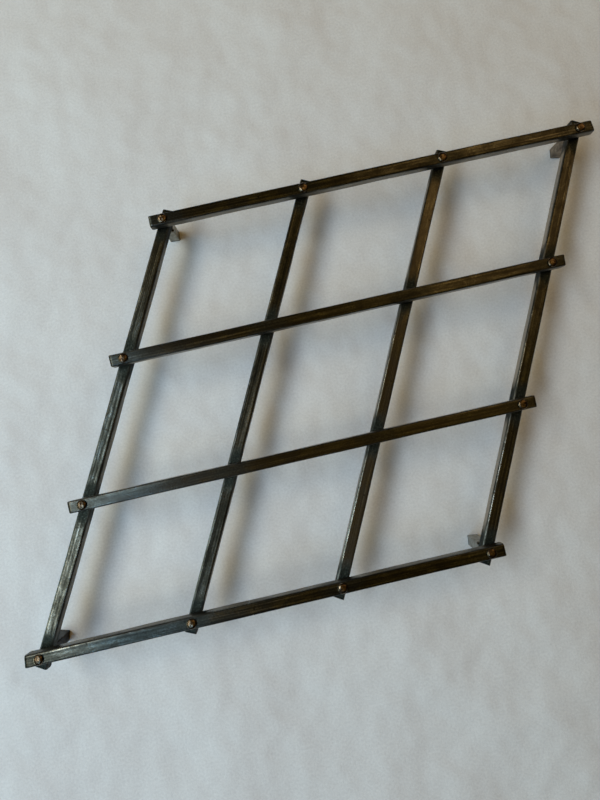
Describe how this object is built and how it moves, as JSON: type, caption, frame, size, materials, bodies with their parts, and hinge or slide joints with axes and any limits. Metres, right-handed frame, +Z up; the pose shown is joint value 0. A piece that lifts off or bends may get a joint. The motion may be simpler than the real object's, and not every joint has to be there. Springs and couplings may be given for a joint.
{
  "type": "expanding lattice trivet",
  "caption": "Folding lattice trivet of riveted channel bars in two layers, standing on small square swivelling feet, to hold a hot dish off a table.",
  "frame": {"origin": "on the table, under the middle of the opened lattice", "axes": "+X along the upper bars, +Y across them towards the last upper bar, +Z up"},
  "size_m": [0.317, 0.202, 0.0296],
  "materials": {
    "bar_metal": "drawn sheet, silver-plated and darkly tarnished, half polished",
    "foot_metal": "folded sheet, silver-plated, dull and lightly tarnished",
    "rivet_brass": "hammered domes, worn bright on top and dark around the rim"
  },
  "bodies": {
    "upper_bar_1": {"upper_bar_1": "bar_metal", "rivet_u1_l2": "rivet_brass", "rivet_u1_l3": "rivet_brass"},
    "upper_bar_2": {"upper_bar_2": "bar_metal", "rivet_u2_l1": "rivet_brass", "rivet_u2_l4": "rivet_brass"},
    "upper_bar_3": {"upper_bar_3": "bar_metal", "rivet_u3_l1": "rivet_brass", "rivet_u3_l4": "rivet_brass"},
    "upper_bar_4": {"upper_bar_4": "bar_metal", "rivet_u4_l2": "rivet_brass", "rivet_u4_l3": "rivet_brass"},
    "lower_bar_1": {"lower_bar_1": "bar_metal"},
    "lower_bar_2": {"lower_bar_2": "bar_metal"},
    "lower_bar_3": {"lower_bar_3": "bar_metal"},
    "lower_bar_4": {"lower_bar_4": "bar_metal"},
    "foot_u1_l1": {"foot_u1_l1": "foot_metal", "corner_rivet_u1_l1": "rivet_brass"},
    "foot_u1_l4": {"foot_u1_l4": "foot_metal", "corner_rivet_u1_l4": "rivet_brass"},
    "foot_u4_l1": {"foot_u4_l1": "foot_metal", "corner_rivet_u4_l1": "rivet_brass"},
    "foot_u4_l4": {"foot_u4_l4": "foot_metal", "corner_rivet_u4_l4": "rivet_brass"}
  },
  "joints": [
    {"name": "lattice_fold", "type": "hinge", "parent": "upper_bar_1", "child": "lower_bar_1", "pos_m": [-0.15202, -0.09389, 0.0229], "axis": [0, 0, 1], "range_deg": [-58.4, 111.6]},
    {"name": "lower_bar_2_pivot", "type": "hinge", "parent": "upper_bar_1", "child": "lower_bar_2", "pos_m": [-0.08202, -0.09389, 0.0229], "axis": [0, 0, 1], "range_deg": [-58.4, 111.6]},
    {"name": "lower_bar_3_pivot", "type": "hinge", "parent": "upper_bar_1", "child": "lower_bar_3", "pos_m": [-0.01201, -0.09389, 0.0229], "axis": [0, 0, 1], "range_deg": [-58.4, 111.6]},
    {"name": "lower_bar_4_pivot", "type": "hinge", "parent": "upper_bar_1", "child": "lower_bar_4", "pos_m": [0.05799, -0.09389, 0.0229], "axis": [0, 0, 1], "range_deg": [-58.4, 111.6]},
    {"name": "upper_bar_2_pivot", "type": "hinge", "parent": "lower_bar_1", "child": "upper_bar_2", "pos_m": [-0.12067, -0.0313, 0.0229], "axis": [0, 0, 1], "range_deg": [-111.6, 58.4]},
    {"name": "upper_bar_3_pivot", "type": "hinge", "parent": "lower_bar_1", "child": "upper_bar_3", "pos_m": [-0.08933, 0.0313, 0.0229], "axis": [0, 0, 1], "range_deg": [-111.6, 58.4]},
    {"name": "upper_bar_4_pivot", "type": "hinge", "parent": "lower_bar_1", "child": "upper_bar_4", "pos_m": [-0.05799, 0.09389, 0.0229], "axis": [0, 0, 1], "range_deg": [-111.6, 58.4]},
    {"name": "foot_u1_l1_swivel", "type": "hinge", "parent": "lower_bar_1", "child": "foot_u1_l1", "pos_m": [-0.15202, -0.09389, 0.0171], "axis": [0, 0, 1], "continuous": true},
    {"name": "foot_u1_l4_swivel", "type": "hinge", "parent": "lower_bar_4", "child": "foot_u1_l4", "pos_m": [0.05799, -0.09389, 0.0171], "axis": [0, 0, 1], "continuous": true},
    {"name": "foot_u4_l1_swivel", "type": "hinge", "parent": "lower_bar_1", "child": "foot_u4_l1", "pos_m": [-0.05799, 0.09389, 0.0171], "axis": [0, 0, 1], "continuous": true},
    {"name": "foot_u4_l4_swivel", "type": "hinge", "parent": "lower_bar_4", "child": "foot_u4_l4", "pos_m": [0.15202, 0.09389, 0.0171], "axis": [0, 0, 1], "continuous": true}
  ],
  "couplings": [
    {"joint": "lower_bar_2_pivot", "follows": "lattice_fold", "ratio": 1},
    {"joint": "lower_bar_3_pivot", "follows": "lattice_fold", "ratio": 1},
    {"joint": "lower_bar_4_pivot", "follows": "lattice_fold", "ratio": 1},
    {"joint": "upper_bar_2_pivot", "follows": "lattice_fold", "ratio": -1},
    {"joint": "upper_bar_3_pivot", "follows": "lattice_fold", "ratio": -1},
    {"joint": "upper_bar_4_pivot", "follows": "lattice_fold", "ratio": -1}
  ]
}
